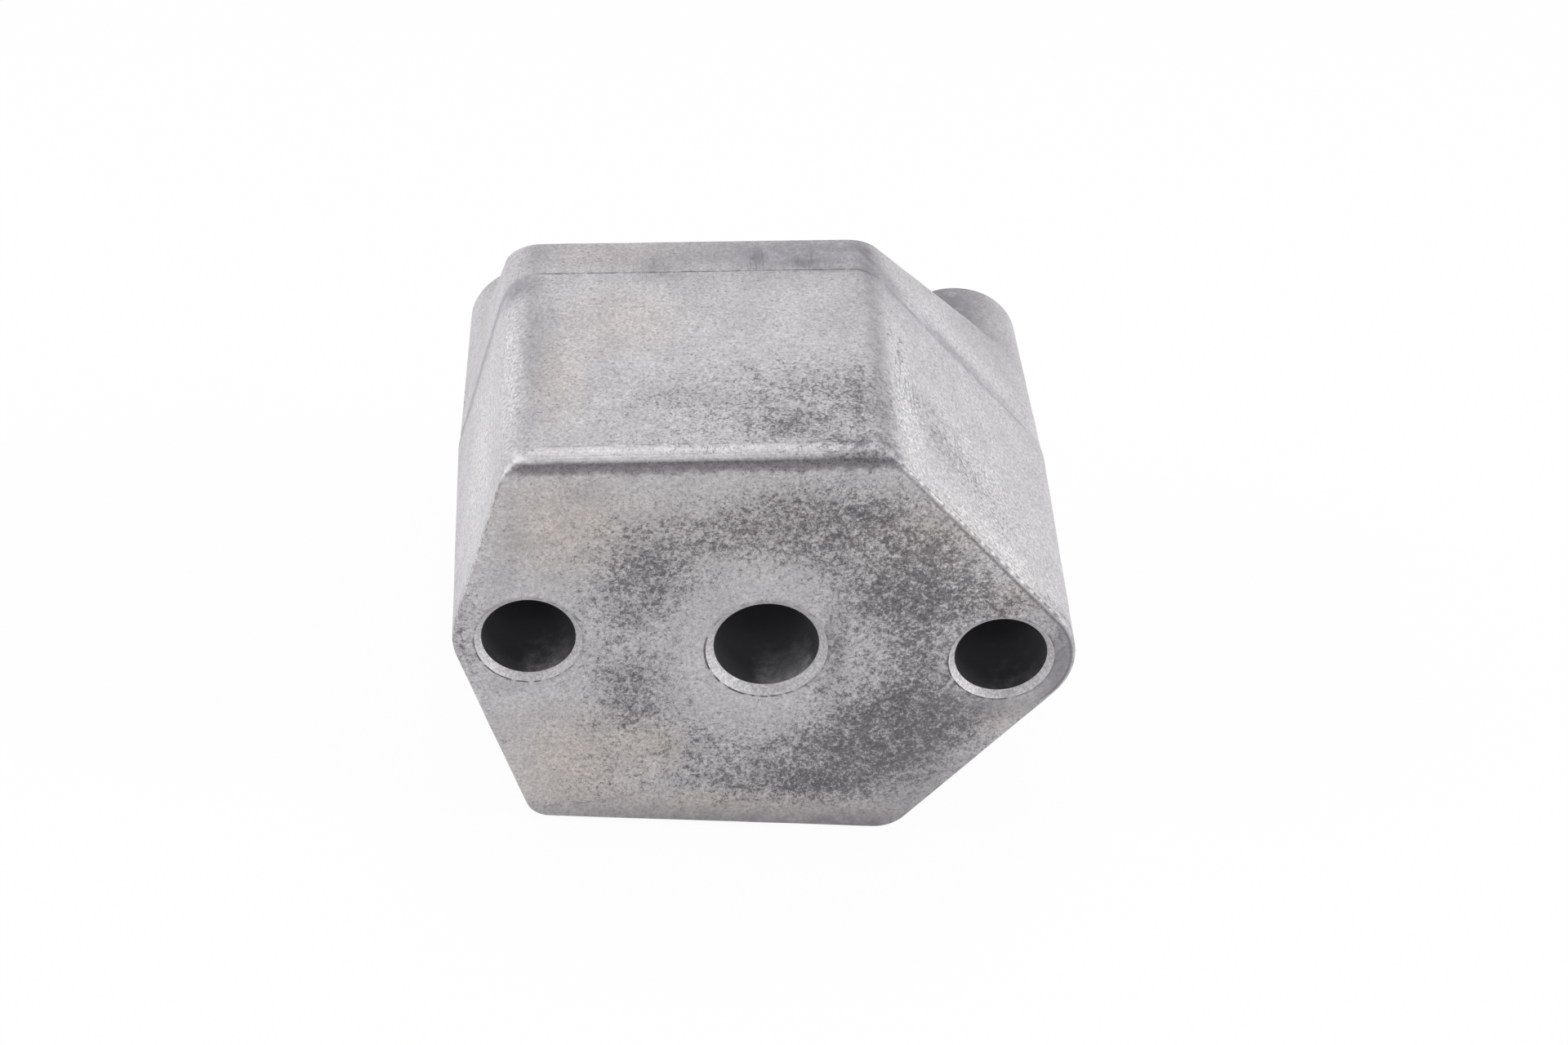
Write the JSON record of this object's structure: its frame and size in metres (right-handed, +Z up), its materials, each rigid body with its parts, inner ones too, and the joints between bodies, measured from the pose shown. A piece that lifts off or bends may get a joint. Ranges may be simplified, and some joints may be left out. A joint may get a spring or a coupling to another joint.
{
  "type": "cast aluminium block with through bores",
  "caption": "Drafted six-sided aluminium casting with a flat machined-bore front face, parallel through bores in a row, and tubular bosses standing out at the back.",
  "frame": {"origin": "middle of the outline across and in depth, on the level of the lowest edge", "axes": "+X along the row of bores, +Y along the bores from the front face towards the rear bosses, +Z up"},
  "size_m": [0.0536, 0.0474, 0.0423],
  "materials": {
    "cast_aluminium": "mottled, shot-blasted cast skin with bright machined bore mouths"
  },
  "bodies": {
    "root": {"cast_block": "cast_aluminium"}
  },
  "joints": []
}
